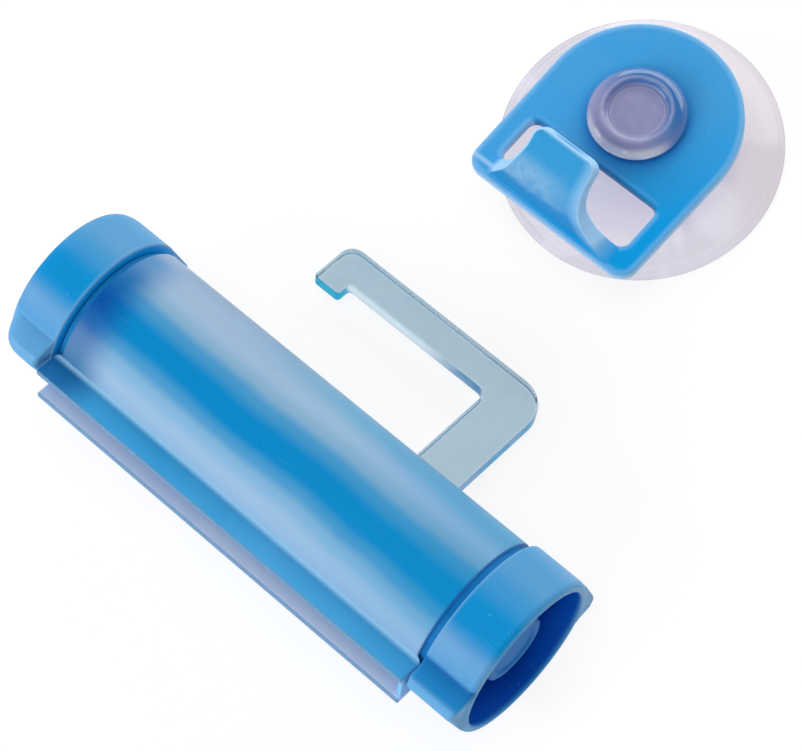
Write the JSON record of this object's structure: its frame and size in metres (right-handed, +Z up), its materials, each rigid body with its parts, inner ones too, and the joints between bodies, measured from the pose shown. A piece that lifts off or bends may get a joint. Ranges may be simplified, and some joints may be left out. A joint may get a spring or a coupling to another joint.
{
  "type": "toothpaste dispenser",
  "caption": "Toothpaste tube winder: a slotted casing with a slit roller turned by finned end knobs, a flat hanging hook, and a separate suction-cup hanger with a curled tongue.",
  "frame": {"origin": "on the table, at the middle of the bounding box of the winder and its hanger", "axes": "+X along the winder's barrel towards the knob with the shallower fin corners, +Y from the winder to the hanger, +Z up from the table that both lie on"},
  "size_m": [0.115, 0.1442, 0.034],
  "materials": {
    "frosted_casing": "frosted, translucent",
    "dark_collar": "smooth",
    "clear_hook": "clear, polished",
    "milky_roller": "translucent",
    "blue_knob": "satin",
    "milky_cap": "translucent",
    "clear_cup": "clear, soft",
    "blue_plate": "satin gloss"
  },
  "bodies": {
    "casing": {"casing": "frosted_casing", "left_end_plate": "dark_collar", "right_end_plate": "dark_collar", "hanging_hook": "clear_hook"},
    "winder": {"winding_roller": "milky_roller", "left_knob": "blue_knob", "right_knob": "blue_knob", "left_cap": "milky_cap", "right_cap": "milky_cap"},
    "cup": {"suction_cup": "clear_cup"},
    "plate": {"hanger_plate": "blue_plate"}
  },
  "joints": [
    {"name": "winder_turn", "type": "hinge", "parent": "casing", "child": "winder", "pos_m": [0, -0.0512, 0.017], "axis": [1, 0, 0], "continuous": true},
    {"name": "hanger_lift", "type": "slide", "parent": "casing", "child": "cup", "axis": [0, 0, 1], "range_m": [0, 0.06]},
    {"name": "plate_swivel", "type": "hinge", "parent": "cup", "child": "plate", "pos_m": [0.0028, 0.0438, 0.0127], "axis": [0, 0, 1], "continuous": true}
  ]
}
